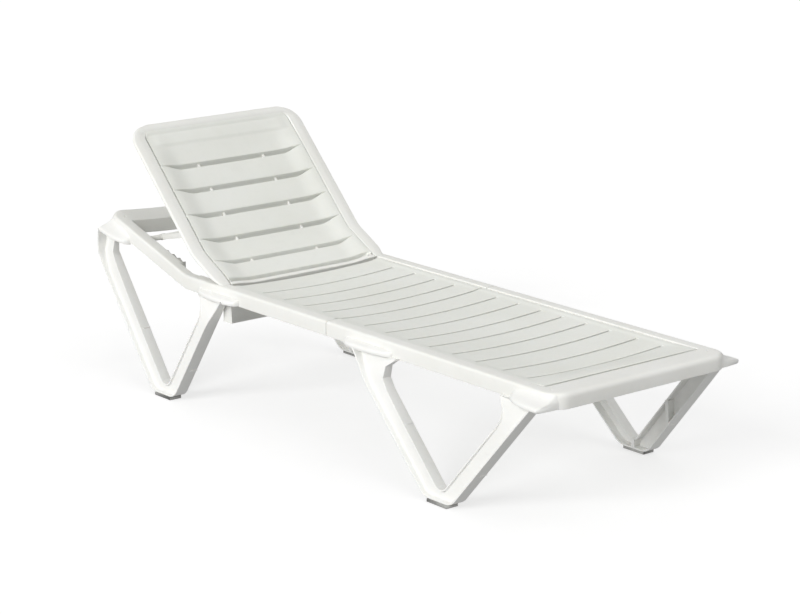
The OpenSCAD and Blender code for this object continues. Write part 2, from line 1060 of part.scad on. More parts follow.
// Clears the rim's toe over the rail top, through the whole travel
module toe_cut()
{
    start = back_foot_y - 20;
    side_view(-half_w - 1, -rail_in + 2.5)
        polygon([[start, back_top - rim_t - 5], [start, back_top + 5],
            [hinge_y + 2, back_top + 5], [hinge_y + 2, back_top], [hinge_y + 12, back_top - rim_t],
            [hinge_y + 12, back_top - rim_t - 5]]);
}

// Boss on the channel for the prop's pin, drawn on the closed backrest
module prop_boss()
{
    a = prop_pin_a - back_open;
    boss_r = 9.4;
    translate([-channel_x - channel_w + 0.5, hinge_y + prop_l * cos(a), hinge_z + prop_l * sin(a)])
        rotate([0, 90, 0])
            cylinder(h = channel_w + 0.5, r = boss_r);
}

module prop_bore(r)
{
    a = prop_pin_a - back_open;
    translate([-channel_x - channel_w - 1, hinge_y + prop_l * cos(a), hinge_z + prop_l * sin(a)])
        rotate([0, 90, 0])
            cylinder(h = channel_w + 2, r = r);
}

// Places of the screws that hold the back panel in its rim, along the upper part
back_screw_step = 145;
back_screw_v = [for (i = [0 : 2]) 60 + i * back_screw_step];

module back_holes(r)
{
    for (v = back_screw_v)
    {
        p = back_point(v, rim_t + 4 + 6);
        translate([-panel_half_w + 7, p[0], p[1]])
            rotate([back_bend, 0, 0])
                cylinder(h = 12, r = r);
    }
}

module back_screws()
{
    color(zinc)
    opened()
    both_sides()
        for (v = back_screw_v)
        {
            p = back_point(v, rim_t + 4 + 5);
            translate([-panel_half_w + 7, p[0], p[1]])
                rotate([back_bend, 0, 0])
                    screw(back_screw_r, 11, 3.5);
        }
}

// One backrest slat or the header, between v0 and v1 on one of the two parts
module back_slat(v0, v1, dish, t)
{
    a = v0 < 0 ? 0 : back_bend;
    translate([0, bend_y, back_top])
        rotate([a, 0, 0])
            translate([0, v1, -3])
                rotate([90, 0, 0])
                    linear_extrude(height = v1 - v0)
                        slat_section(panel_half_w - 16, dish, t);
}

// Slatted insert of the backrest: header, slats, side borders and stringers
module back_panel()
{
    foot_v = panel_foot_y - bend_y;
    head_v = back_upper_l - top_bar_l - 2;
    first = back_upper_l - header_l;
    border = 18;
    color(white)
    opened()
    difference()
    {
        union()
        {
            both_sides()
                side_view(-panel_half_w, -panel_half_w + border)
                    bent_strip(foot_v, head_v, 2, rim_t + 1.8);
            both_sides()
                side_view(-stringer_x - stringer_w / 2, -stringer_x + stringer_w / 2)
                    bent_strip(foot_v + 2, head_v - 2, back_dish + 6, 9);
            back_slat(first, head_v, back_dish / 3, slat_t);
            for (i = [0 : back_slats - 1])
            {
                v1 = first - back_gap - i * back_pitch;
                v0 = i == back_slats - 1 ? foot_v : v1 - back_pitch + back_gap;
                if (v0 < 0 && v1 > 0)
                {
                    back_slat(0, v1, back_dish, slat_t);
                    back_slat(v0, 0, back_dish, slat_t);
                }
                else
                {
                    back_slat(v0, v1, back_dish, slat_t);
                }
            }
        }
        both_sides()
            back_holes(back_screw_r);
    }
}

// ---------- prop ----------

// Pin in a backrest boss that carries one arm of the prop
module prop_pin()
{
    color(zinc)
        translate([-channel_x - channel_w, prop_pin_pos[0], prop_pin_pos[1]])
            rotate([0, 90, 0])
                cylinder(h = channel_x + channel_w - arm_x + 4, r = prop_pin_r);
}

module prop_pin_left()
{
    prop_pin();
}

module prop_pin_right()
{
    mirror([1, 0, 0])
        prop_pin();
}

// Bail: two arms from the pins to the bar that rests on the racks
module prop_bail()
{
    reach = [bar_y, bar_z] - prop_pin_pos;
    swing = atan2(reach[1], reach[0]);
    color(white)
    difference()
    {
        union()
        {
            both_sides()
            {
                translate([-arm_x - arm_w, prop_pin_pos[0], prop_pin_pos[1]])
                    rotate([swing, 0, 0])
                        translate([0, 0, -arm_h / 2])
                            cube([arm_w, prop_l, arm_h]);
                for (p = [prop_pin_pos, [bar_y, bar_z]])
                    translate([-arm_x - arm_w - 1, p[0], p[1]])
                        rotate([0, 90, 0])
                            cylinder(h = arm_w + 2, r = arm_h / 2 + 1.5);
            }
            translate([-rack_x - 10, bar_y, bar_z])
                rotate([0, 90, 0])
                    cylinder(h = 2 * (rack_x + 10), r = bar_r - 2);
            translate([-arm_x - 3, bar_y, bar_z])
                rotate([0, 90, 0])
                    cylinder(h = 2 * arm_x + 6, r = bar_r);
        }
        both_sides()
            translate([-arm_x - arm_w - 3, prop_pin_pos[0], prop_pin_pos[1]])
                rotate([0, 90, 0])
                    cylinder(h = arm_w + 6, r = prop_pin_r + 2 * run_clear);
    }
}

// Sleeve on the end of the bar, which rests on the rack
module prop_cap()
{
    color(white)
        translate([-rack_x - 14, bar_y, bar_z])
            rotate([0, 90, 0])
                difference()
                {
                    cylinder(h = rack_x + 12.5 - arm_x - arm_w, r = bar_r);
                    translate([0, 0, 4])
                        cylinder(h = rack_x + 14, r = bar_r - 2);
                }
}

module prop_cap_left()
{
    prop_cap();
}

module prop_cap_right()
{
    mirror([1, 0, 0])
        prop_cap();
}

foot_frame();
head_frame();
foot_deck();
head_deck();
rear_cross_beam();
leg_front_left();
leg_front_right();
leg_rear_left();
leg_rear_right();
pad_front_left();
pad_front_right();
pad_rear_left();
pad_rear_right();
rack_left();
rack_right();
spigot_left();
spigot_right();
joint_screws();
leg_screws();
deck_screws();
rack_screws();
hinge_pin_left();
hinge_pin_right();
back_frame();
back_panel();
back_screws();
prop_pin_left();
prop_pin_right();
prop_bail();
prop_cap_left();
prop_cap_right();
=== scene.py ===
import math
import bpy
from mathutils import Matrix, Vector


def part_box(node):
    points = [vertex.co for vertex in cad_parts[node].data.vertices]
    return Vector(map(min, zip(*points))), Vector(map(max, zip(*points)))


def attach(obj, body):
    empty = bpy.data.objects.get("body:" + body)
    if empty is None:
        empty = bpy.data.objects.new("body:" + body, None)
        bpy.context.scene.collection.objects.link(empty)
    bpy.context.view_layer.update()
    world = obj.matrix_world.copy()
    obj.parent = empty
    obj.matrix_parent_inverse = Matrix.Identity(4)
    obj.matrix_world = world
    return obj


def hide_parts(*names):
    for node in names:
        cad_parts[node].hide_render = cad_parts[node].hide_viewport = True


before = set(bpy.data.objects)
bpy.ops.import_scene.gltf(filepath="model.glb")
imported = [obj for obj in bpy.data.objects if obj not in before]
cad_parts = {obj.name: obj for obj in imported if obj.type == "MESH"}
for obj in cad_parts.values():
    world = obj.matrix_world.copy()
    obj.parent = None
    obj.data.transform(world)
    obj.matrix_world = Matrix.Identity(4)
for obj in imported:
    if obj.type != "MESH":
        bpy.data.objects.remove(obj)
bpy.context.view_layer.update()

# ---------- sizes, in millimetres, from the CAD frame ----------

MM = 1000.0
FOOT_LO, FOOT_HI = (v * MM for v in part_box("foot_frame"))
HEAD_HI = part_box("head_frame")[1] * MM
LEG_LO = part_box("leg_front_left")[0] * MM
DECK_LO, DECK_HI = (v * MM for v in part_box("foot_deck"))
HEAD_DECK_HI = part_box("head_deck")[1] * MM

HALF_W = FOOT_HI.x
HALF_L = HEAD_HI.y
SEAT = FOOT_HI.z
SEAM = FOOT_HI.y
RAIL_W = 36.0
RAIL_D = 40.0
RAIL_IN = HALF_W - RAIL_W
WALL = 4.5
CORNER_R = 48.0
FOOT_RAIL_W = 75.0
HEAD_RAIL_W = 76.0
HEAD_DISH = 14.0
KINK_Y = 570.0
KINK = math.radians(17.0)
HOLE_X = 268.0
HOLE_IN = 51.0
HOLE_R = 3.2

BACK_OPEN = math.radians(27.5)
BACK_BEND = math.radians(17.5)
BACK_LOW_L = 133.0
BACK_UP_L = 442.0
BACK_FOOT_V = -146.0
RIM_W = 44.0
RIM_IN = HALF_W - RIM_W
RIM_T = 10.0
CHANNEL_X = 233.0


def middle_of(name):
    """Middle of a CAD piece in the plane of the side view."""
    low, high = (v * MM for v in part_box(name))
    return Vector((0.0, (low.y + high.y) / 2, (low.z + high.z) / 2))


HINGE = middle_of("hinge_pin_left")
PROP_HINGE = middle_of("prop_pin_left")

# ---------- mesh helpers ----------


def smooth_step(t):
    """Eased share from 0 to 1."""
    t = min(1.0, max(0.0, t))
    return t * t * (3 - 2 * t)


def lerp(a, b, t):
    """Value between a and b at share t."""
    return a + (b - a) * t


def new_object(name, verts, faces, body, material):
    """A smooth-shaded mesh from points in millimetres, riding on a body."""
    obj = bare_mesh(name, verts, faces)
    finish_mesh(obj)
    obj.data.materials.append(material)
    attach(obj, body)
    return obj


def bare_mesh(name, verts, faces):
    """A linked mesh object from points in millimetres."""
    mesh = bpy.data.meshes.new(name)
    mesh.from_pydata([tuple(Vector(v) / MM) for v in verts], [], faces)
    mesh.validate()
    obj = bpy.data.objects.new(name, mesh)
    bpy.context.scene.collection.objects.link(obj)
    return obj


def turn_outward(obj):
    """Makes the mesh's normals consistent; leaves the object selected."""
    bpy.context.view_layer.objects.active = obj
    obj.select_set(True)
    bpy.ops.object.mode_set(mode="EDIT")
    bpy.ops.mesh.select_all(action="SELECT")
    bpy.ops.mesh.normals_make_consistent(inside=False)
    bpy.ops.object.mode_set(mode="OBJECT")


def finish_mesh(obj, angle=38):
    """Consistent normals, smooth faces and sharp creases above the angle."""
    turn_outward(obj)
    bpy.ops.object.shade_smooth_by_angle(angle=math.radians(angle))
    obj.select_set(False)


def add_bevel(obj, width, segments=3, angle=35):
    """Rounds the edges sharper than the angle."""
    mod = obj.modifiers.new("soft_edges", "BEVEL")
    mod.width = width / MM
    mod.segments = segments
    mod.limit_method = "ANGLE"
    mod.angle_limit = math.radians(angle)
    mod.use_clamp_overlap = True
    mod.harden_normals = True


def thicken(obj, thickness):
    """Gives a surface its thickness, inward."""
    mod = obj.modifiers.new("thickness", "SOLIDIFY")
    mod.thickness = thickness / MM
    mod.offset = -1.0


def cut(obj, cutters):
    """Boolean difference, applied to the mesh; the cutters are removed."""
    for cutter in cutters:
        mod = obj.modifiers.new("cut", "BOOLEAN")
        mod.operation = "DIFFERENCE"
        mod.solver = "EXACT"
        mod.object = cutter
    graph = bpy.context.evaluated_depsgraph_get()
    made = bpy.data.meshes.new_from_object(obj.evaluated_get(graph))
    obj.modifiers.clear()
    obj.data = made
    for cutter in cutters:
        bpy.data.objects.remove(cutter)
    finish_mesh(obj)


def cutter_from(name, verts, faces):
    """A closed mesh to cut with."""
    obj = bare_mesh(name, verts, faces)
    turn_outward(obj)
    obj.select_set(False)
    return obj


def skin_faces(rings, size, caps=True):
    """Quads between rings of size points each, and the two end faces."""
    faces = []
    for k in range(rings - 1):
        for i in range(size):
            j = (i + 1) % size
            faces.append((k * size + i, k * size + j, (k + 1) * size + j, (k + 1) * size + i))
    if caps:
        faces.append(tuple(range(size)))
        faces.append(tuple(range((rings - 1) * size, rings * size)))
    return faces


def tube_between(name, a, b, radius, sides=24):
    """A closed round cutter from point a to point b."""
    axis = (b - a).normalized()
    u = axis.orthogonal().normalized()
    w = axis.cross(u)
    verts = []
    for end in (a, b):
        for i in range(sides):
            t = 2 * math.pi * i / sides
            verts.append(end + (u * math.cos(t) + w * math.sin(t)) * radius)
    return cutter_from(name, verts, skin_faces(2, sides))


def rounded_loop(corners, steps=4):
    """Closed loop of points from (x, y, radius) corners, each rounded by its radius."""
    loop = []
    count = len(corners)
    for i, (x, y, r) in enumerate(corners):
        here = Vector((x, y))
        before = Vector(corners[i - 1][:2]) - here
        after = Vector(corners[(i + 1) % count][:2]) - here
        if r <= 0:
            loop.append(here)
            continue
        a = before.normalized()
        b = after.normalized()
        turn = math.pi - a.angle(b)
        reach = min(r * math.tan(turn / 2), before.length * 0.49, after.length * 0.49)
        for k in range(steps + 1):
            t = k / steps
            p = here + a * reach * (1 - t) ** 2 + b * reach * t ** 2
            loop.append(p)
    return loop


def profile(corners, width, steps=4):
    """A section whose points keep their distance to the outer or the inner rail."""
    points = []
    for p in rounded_loop(corners, steps):
        if p.x <= width / 2:
            points.append(("outer", p.x, p.y))
        else:
            points.append(("inner", width - p.x, p.y))
    return points


def sweep(name, stations, section, place, body, material):
    """Skin through section(k) at each station of (outer, outer normal, inner, inner normal)."""
    verts = []
    for k, (outer, out_n, inner, in_n) in enumerate(stations):
        for side, dist, height in section(k):
            if side == "outer":
                flat = outer - out_n * dist
            else:
                flat = inner + in_n * dist
            verts.append(place(flat, height))
    faces = skin_faces(len(stations), len(section(0)))
    return new_object(name, verts, faces, body, material)


def u_stations(start, end, outer_w, outer_r, inner_w, inset, inner_r, rows=40, turn=14, across=30):
    """Stations round a U that is open at start and closed at end, in plan."""
    s = 1 if end > start else -1
    inner_end = end - s * inset
    straight = min((inner_end - s * inner_r) * s, (end - s * outer_r) * s) * s
    left = Vector((-1.0, 0.0))
    made = []
    for i in range(rows):
        y = lerp(start, straight, i / rows)
        made.append((Vector((-outer_w, y)), left, Vector((-inner_w, y)), left))
    outer = path_round(-outer_w, straight, end, outer_r, s, turn)
    inner = path_round(-inner_w, straight, inner_end, inner_r, s, turn)
    for (op, on), (ip, inn) in zip(outer, inner):
        made.append((op, on, ip, inn))
    x0 = made[-1][0].x
    x1 = made[-1][2].x
    n = Vector((0.0, float(s)))
    for i in range(1, across // 2 + 1):
        t = i / (across // 2)
        made.append((Vector((lerp(x0, 0, t), end)), n, Vector((lerp(x1, 0, t), inner_end)), n))
    flip = Vector((-1.0, 1.0))
    mirror = []
    for op, on, ip, inn in reversed(made[:-1]):
        mirror.append((op * flip, on * flip, ip * flip, inn * flip))
    return made + mirror


def path_round(x, start, end, r, s, turn):
    """Straight from start, then a quarter turn into the end line, in turn equal steps."""
    centre = Vector((x + r, end - s * r))
    lead = abs(centre.y - start)
    total = lead + r * math.pi / 2
    made = []
    for i in range(turn + 1):
        d = total * i / turn
        if d < lead:
            made.append((Vector((x, start + s * d)), Vector((-1.0, 0.0))))
            continue
        a = (d - lead) / r
        n = Vector((-math.cos(a), s * math.sin(a)))
        made.append((centre + n * r, n))
    return made


# ---------- materials ----------


def node(tree, kind, **values):
    """A new shader node with its settings."""
    made = tree.nodes.new(kind)
    for key, value in values.items():
        setattr(made, key, value)
    return made


def noise(tree, coords, scale, detail=6.0, rough=0.55, stretch=None):
    """A noise texture in object space; stretch scales each axis."""
    vector = coords
    if stretch:
        mapping = node(tree, "ShaderNodeMapping")
        mapping.inputs["Scale"].default_value = stretch
        tree.links.new(coords, mapping.inputs["Vector"])
        vector = mapping.outputs["Vector"]
    made = node(tree, "ShaderNodeTexNoise")
    made.inputs["Scale"].default_value = scale
    made.inputs["Detail"].default_value = detail
    made.inputs["Roughness"].default_value = rough
    tree.links.new(vector, made.inputs["Vector"])
    return made.outputs["Fac"]


def ramp(tree, value, stops):
    """Colours by value, from stops of (position, colour)."""
    made = node(tree, "ShaderNodeValToRGB")
    elements = made.color_ramp.elements
    while len(elements) < len(stops):
        elements.new(0.5)
    for element, (at, colour) in zip(elements, stops):
        element.position = at
        element.color = (*colour, 1.0)
    tree.links.new(value, made.inputs["Fac"])
    return made.outputs["Color"]


def spread(tree, value, low, high, lo_out, hi_out):
    """Value from low..high mapped to lo_out..hi_out, clamped."""
    made = node(tree, "ShaderNodeMapRange")
    for key, number in (("From Min", low), ("From Max", high), ("To Min", lo_out), ("To Max", hi_out)):
        made.inputs[key].default_value = number
    tree.links.new(value, made.inputs["Value"])
    return made.outputs["Result"]


def mixed(tree, factor, a, b):
    """Colour a blended towards the fixed colour b by a factor socket."""
    made = node(tree, "ShaderNodeMix", data_type="RGBA")
    tree.links.new(factor, made.inputs[0])
    tree.links.new(a, made.inputs[6])
    made.inputs[7].default_value = (*b, 1.0)
    return made.outputs[2]


def start_material(name, roughness, metallic=0.0):
    """A new material with its tree, its shader and object coordinates."""
    material = bpy.data.materials.new(name)
    material.use_nodes = True
    tree = material.node_tree
    shader = tree.nodes["Principled BSDF"]
    shader.inputs["Roughness"].default_value = roughness
    shader.inputs["Metallic"].default_value = metallic
    coords = node(tree, "ShaderNodeTexCoord").outputs["Object"]
    return material, tree, shader, coords


def bump_chain(tree, shader, layers):
    """Stacks bump layers of (height, strength, distance in mm) onto the shader."""
    normal = None
    for height, strength, distance in layers:
        made = node(tree, "ShaderNodeBump")
        made.inputs["Strength"].default_value = strength
        made.inputs["Distance"].default_value = distance / MM
        tree.links.new(height, made.inputs["Height"])
        if normal is not None:
            tree.links.new(normal, made.inputs["Normal"])
        normal = made.outputs["Normal"]
    tree.links.new(normal, shader.inputs["Normal"])


def plastic(name, light, shade, roughness, grain):
    """White moulded polypropylene: faint mottling, patches of dust film, painted shade darkening the
    hollows, fine grain.
    """
    material, tree, shader, coords = start_material(name, roughness)
    cloudy = noise(tree, coords, 5.0, 4.0, 0.5)
    colour = ramp(tree, cloudy, ((0.3, shade), (0.7, light)))
    dust = noise(tree, coords, 38.0, 8.0, 0.62)
    film = spread(tree, dust, 0.52, 0.74, 0.0, 0.16)
    colour = mixed(tree, film, colour, tuple(c * 0.86 for c in shade))
    # painted shade: the colour darkens where the surface curves inward (creases, slots, inner corners),
    # standing in for the shade that falls there
    point = node(tree, "ShaderNodeNewGeometry").outputs["Pointiness"]
    hollow = spread(tree, point, 0.40, 0.49, 0.34, 0.0)
    colour = mixed(tree, hollow, colour, tuple(c * 0.74 for c in shade))
    flow = noise(tree, coords, 3.2, 3.0, 0.5, stretch=(1.0, 0.35, 1.0))
    tree.links.new(colour, shader.inputs["Base Color"])
    rough = spread(tree, dust, 0.3, 0.8, roughness - 0.07, roughness + 0.12)
    tree.links.new(rough, shader.inputs["Roughness"])
    shader.inputs["Specular IOR Level"].default_value = 0.42
    shader.inputs["Subsurface Weight"].default_value = 0.06
    shader.inputs["Subsurface Radius"].default_value = (0.006, 0.005, 0.004)
    fine = noise(tree, coords, grain, 3.0, 0.6)
    bump_chain(tree, shader, ((flow, 0.25, 1.2), (fine, 0.16, 0.12)))
    return material


def rubber(name):
    """Grey rubber with scuffs along the object and a fine grain."""
    material, tree, shader, coords = start_material(name, 0.7)
    scuffs = noise(tree, coords, 60.0, 8.0, 0.65, stretch=(1.0, 4.0, 1.0))
    colour = ramp(tree, scuffs, ((0.35, (0.40, 0.40, 0.385)), (0.75, (0.54, 0.54, 0.52))))
    tree.links.new(colour, shader.inputs["Base Color"])
    tree.links.new(spread(tree, scuffs, 0.3, 0.8, 0.55, 0.85), shader.inputs["Roughness"])
    grain = noise(tree, coords, 900.0, 2.0, 0.5)
    bump_chain(tree, shader, ((scuffs, 0.3, 0.3), (grain, 0.3, 0.1)))
    return material


def metal(name, light, dark, roughness, stretch):
    """Steel with fine drawn lines along one axis and a few dull spots."""
    material, tree, shader, coords = start_material(name, roughness, 1.0)
    lines = noise(tree, coords, 240.0, 6.0, 0.6, stretch=stretch)
    spots = noise(tree, coords, 55.0, 4.0, 0.5)
    colour = ramp(tree, lines, ((0.3, dark), (0.7, light)))
    colour = mixed(tree, spread(tree, spots, 0.6, 0.8, 0.0, 0.35), colour, dark)
    tree.links.new(colour, shader.inputs["Base Color"])
    rough = spread(tree, lines, 0.2, 0.8, roughness - 0.08, roughness + 0.15)
    tree.links.new(rough, shader.inputs["Roughness"])
    bump_chain(tree, shader, ((lines, 0.2, 0.05),))
    return material


WHITE = plastic("moulded_white", (0.86, 0.86, 0.83), (0.81, 0.81, 0.77), 0.42, 1500.0)
WHITE_LEG = plastic("moulded_white_leg", (0.87, 0.87, 0.85), (0.82, 0.82, 0.79), 0.44, 1300.0)
WHITE_PANEL = plastic("moulded_white_panel", (0.82, 0.83, 0.79), (0.78, 0.79, 0.74), 0.5, 1100.0)
WHITE_BACK = plastic("moulded_white_back", (0.86, 0.86, 0.83), (0.81, 0.81, 0.77), 0.42, 1500.0)
WHITE_PROP = plastic("moulded_white_prop", (0.82, 0.82, 0.79), (0.76, 0.76, 0.72), 0.46, 1400.0)
RUBBER = rubber("pad_rubber")
ZINC = metal("zinc_screw", (0.62, 0.63, 0.65), (0.42, 0.43, 0.45), 0.35, (1.0, 1.0, 1.0))
STEEL = metal("brushed_pin", (0.6, 0.6, 0.61), (0.42, 0.42, 0.43), 0.3, (0.05, 1.0, 1.0))

# ---------- frame halves ----------


def rail_rise(y):
    """Height of the rail top above the seat level, with the bend softened."""
    soft = 7.0
    t = y - KINK_Y
    return 0.5 * (t + math.sqrt(t * t + soft * soft)) * math.tan(KINK)


def cross_dish(x, y):
    """Sag of the head cross member between the rails."""
    amount = HEAD_DISH * max(0.0, 1 - (x / RAIL_IN) ** 2)
    return amount * smooth_step((y - (HALF_L - HEAD_RAIL_W - 6)) / 8)


def frame_place(flat, height):
    """Maps a plan point and its height above the rail top to the frame."""
    z = SEAT + height + rail_rise(flat.y) - cross_dish(flat.x, flat.y)
    return Vector((flat.x, flat.y, z))


def rail_corners(width, top_r):
    """Hollow rail section: x from the outer edge, y below the rail top."""
    return [
        (0.0, -RAIL_D, 1.2), (0.0, 0.0, top_r), (width, 0.0, 3.0), (width, -RAIL_D, 1.2),
        (width - WALL, -RAIL_D, 1.2), (width - WALL, -WALL, 3.0), (WALL, -WALL, 4.0),
        (WALL, -RAIL_D, 1.2),
    ]


def rail_section(stations, end_r, side_r=8.0):
    """Section per station: the outer top edge turns rounder towards the end rail."""
    width = 60.0

    def made(k):
        t = smooth_step(abs(stations[k][1].y))
        return profile(rail_corners(width, lerp(side_r, end_r, t)), width, 6)
    return made


def frame_half(name, start, end, inset, end_r):
    """Two side rails and the end rail that joins them, from start to end along Y."""
    stations = u_stations(start, end, HALF_W, CORNER_R, RAIL_IN, inset, 9.0)
    section = rail_section(stations, end_r)
    return sweep(name, stations, section, frame_place, "frame", WHITE)


def block(name, lo, hi, body, material, bevel=1.5, place=None, cells=(1, 1, 1)):
    """A gridded block between two corners, with its edges rounded by a bevel."""
    verts = []
    index = {}
    faces = []

    def point(key):
        if key not in index:
            p = Vector([lerp(lo[n], hi[n], key[n] / cells[n]) for n in range(3)])
            index[key] = len(verts)
            verts.append(place(p) if place else p)
        return index[key]

    for u, v, w in ((0, 1, 2), (0, 2, 1), (1, 2, 0)):
        for i in range(cells[u]):
            for j in range(cells[v]):
                for k in (0, cells[w]):
                    key = {w: k}
                    face = []
                    for di, dj in ((0, 0), (1, 0), (1, 1), (0, 1)):
                        key[u] = i + di
                        key[v] = j + dj
                        face.append(point((key[0], key[1], key[2])))
                    faces.append(tuple(face))
    obj = new_object(name, verts, faces, body, material)
    add_bevel(obj, bevel)
    return obj


def corner_holes(y, z):
    """Cutters for the small drain holes in the two corners of an end rail."""
    made = []
    for x in (-HOLE_X, HOLE_X):
        top = Vector((x, y, z + 3))
        low = Vector((x, y, z - 8))
        made.append(tube_between("hole_cut", low, top, HOLE_R))
    return made


def build_frames():
    """Both frame halves with their holes, ledges for the deck and the collars of the joint."""
    foot = frame_half("foot_frame_skin", SEAM - 1.6, FOOT_LO.y, FOOT_RAIL_W, 15.0)
    cut(foot, corner_holes(HOLE_IN - HALF_L, SEAT))
    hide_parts("foot_frame")
    head = frame_half("head_frame_skin", SEAM + 1.2, HALF_L, HEAD_RAIL_W, 21.0)
    y = HALF_L - HOLE_IN
    cut(head, corner_holes(y, SEAT + rail_rise(y)) + rail_slots())
    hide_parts("head_frame")
    deck_ledges()
    seam_sleeves()


def deck_ledges():
    """Ledges on the rails' inner sides that carry the deck."""
    parts = (("foot", -HALF_L + FOOT_RAIL_W, SEAM - 1), ("head", SEAM + 1, 385.0))
    for side, sign in (("left", -1), ("right", 1)):
        x0, x1 = sorted((sign * RAIL_IN, sign * (RAIL_IN - 12)))
        for part, y0, y1 in parts:
            block(
                f"deck_ledge_{part}_{side}", (x0, y0, SEAT - 21), (x1, y1, SEAT - 15.2),
                "frame", WHITE, 1.0, None, (1, 12, 1),
            )


def rail_slots():
    """Cutters for the notches in the rails' inner walls, under the backrest."""
    made = []
    for sign in (-1, 1):
        x0 = sign * (RAIL_IN - 4)
        x1 = sign * (RAIL_IN + WALL + 4)
        verts = []
        steps = 12
        for i in range(steps + 1):
            y = lerp(539.0, 632.0, i / steps)
            top = SEAT + rail_rise(y)
            verts += [(x0, y, top - 15), (x0, y, top + 4), (x1, y, top + 4), (x1, y, top - 15)]
        made.append(cutter_from("slot_cut", verts, skin_faces(steps + 1, 4)))
    return made


def seam_sleeves():
    """The overlapping collar at the joint between the frame halves, seen as a fine step."""
    for sign, side in ((-1, "left"), (1, "right")):
        x0, x1 = sorted((sign * (RAIL_IN + 2.4), sign * (HALF_W - 2.4)))
        block(
            f"joint_collar_{side}", (x0, SEAM - 7, SEAT - RAIL_D + 1.5), (x1, SEAM + 8, SEAT - 2.6),
            "frame", WHITE, 4.0,
        )


# ---------- deck ----------

DECK_HALF = DECK_HI.x
DECK_TOP = DECK_HI.z
DECK_STRINGER_X = 115.0
DECK_SPLIT = (-66.0, -58.0)
SLIT_HALF = 231.0
DECK_GAPS = (-792, -700, -600, -510, -420, -335, -245, -155)
DECK_HEAD_GAPS = (22, 107, 195, 290)
SLIT = 8.0


def deck_drop(x, y):
    """Depth of the deck surface below its border: a lip fall, then the dish."""
    a = abs(x)
    fall = 3.2 * smooth_step((251 - a) / 22)
    dish = 9.0 * max(0.0, 1 - (a / 232) ** 2)
    ease = smooth_step((y - DECK_LO.y - 4) / 100)
    return lerp(-2.7, fall + dish, ease)


def slat_rows(low, high, crown):
    """Rows across one slat as (y, extra height): rounded edges and a slight crown."""
    rows = []
    for t in (0.0, 0.03, 0.09, 0.2, 0.35, 0.5, 0.65, 0.8, 0.91, 0.97, 1.0):
        lift = crown * (1 - (2 * t - 1) ** 2)
        edge = -1.0 if t in (0.0, 1.0) else 0.0
        rows.append((lerp(low, high, t), lift + edge))
    return rows


def slatted_grid(rows_per_slat, columns, surface):
    """Quads of the slats, joined by the border columns beyond the slits."""
    verts = []
    faces = []
    count = len(columns)
    previous = None
    for rows in rows_per_slat:
        first = len(verts)
        for row in rows:
            for x in columns:
                verts.append(surface(x, row))
        for r in range(len(rows) - 1):
            for c in range(count - 1):
                a = first + r * count + c
                faces.append((a, a + 1, a + count + 1, a + count))
        if previous is not None:
            for c in range(count - 1):
                middle = (columns[c] + columns[c + 1]) / 2
                if abs(middle) > SLIT_HALF:
                    a = previous + c
                    b = first + c
                    faces.append((a, a + 1, b + 1, b))
        previous = first + (len(rows) - 1) * count
    return verts, faces


def deck_columns(half):
    """Places across the deck: even over the slits, close together in the border's fall."""
    inner = [SLIT_HALF * i / 16 for i in range(-16, 17)]
    edge = [SLIT_HALF + d for d in (6, 12, 18, 24)] + [half]
    return [-x for x in reversed(edge)] + inner + edge


def deck_panel(name, node_name, start, end, gaps):
    """One slatted panel with slits at the gaps; the head one bows out under the backrest."""
    limits = [start]
    for g in gaps:
        limits += [g - SLIT / 2, g + SLIT / 2]
    limits.append(end)
    slats = [slat_rows(limits[i], limits[i + 1], 0.6) for i in range(0, len(limits), 2)]

    def surface(x, row):
        y, lift = row
        inside = smooth_step((SLIT_HALF + 4 - abs(x)) / 10)
        reach = 0.0
        if end > 0:
            reach = 9.0 * max(0.0, 1 - (x / 236) ** 2) * smooth_step((y - end + 24) / 24)
        return Vector((x, y + reach, DECK_TOP - deck_drop(x, y) + lift * inside))

    verts, faces = slatted_grid(slats, deck_columns(DECK_HALF), surface)
    panel = new_object(name, verts, faces, "frame", WHITE_PANEL)
    thicken(panel, 7.5)
    add_bevel(panel, 1.4, 3, 50)
    if panel.data.polygons[0].normal.z < 0:
        panel.data.flip_normals()
    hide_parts(node_name)


def deck_under(prefix, start, end):
    """Border skirts and the two stringers below one deck panel."""
    for sign, side in ((-1, "left"), (1, "right")):
        x0, x1 = sorted((sign * (DECK_HALF - 0.5), sign * (DECK_HALF - 5)))
        block(
            f"{prefix}_skirt_{side}", (x0, start + 1, DECK_TOP - 12), (x1, end - 1, DECK_TOP - 4),
            "frame", WHITE_PANEL, 0.8, None, (1, 12, 1),
        )
        x0, x1 = sorted((sign * (DECK_STRINGER_X - 3.5), sign * (DECK_STRINGER_X + 3.5)))
        block(
            f"{prefix}_stringer_{side}", (x0, start + 2, DECK_TOP - 26), (x1, end - 2, DECK_TOP - 15),
            "frame", WHITE_PANEL, 1.2, None, (1, 16, 1),
        )


def build_decks():
    """The two deck panels, which part where the frame halves do."""
    start = FOOT_LO.y + FOOT_RAIL_W + 8.5
    foot_end, head_start = DECK_SPLIT
    deck_panel("foot_deck_panel", "foot_deck", start, foot_end, DECK_GAPS)
    deck_under("foot_deck", start, foot_end)
    deck_panel("head_deck_panel", "head_deck", head_start, HEAD_DECK_HI.y, DECK_HEAD_GAPS)
    deck_under("head_deck", head_start, HEAD_DECK_HI.y)


# ---------- legs ----------

LEG_GAP = 0.2
LEG_REACH = -LEG_LO.x
LIMB = 50.0
FLANGE = 40.0
WEB_OUT = 26.0
WEB_TOP = 2.8
SHOULDER = 25.0
PAD_TOP = 8.0
LEG_TOP = SEAT - SHOULDER
HEAD_KNEE = 957.0
HEAD_SINK = 12.0
TOP_DROP = 9.0
# (y, z) of each V from one top over the two corners of the foot to the other top
FRONT_LEG = ((-205.0, LEG_TOP), (-550.0, PAD_TOP), (-655.0, PAD_TOP), (-930.0, LEG_TOP))
REAR_LEG = ((931.0, LEG_TOP), (660.0, PAD_TOP), (552.0, PAD_TOP), (352.0, LEG_TOP))


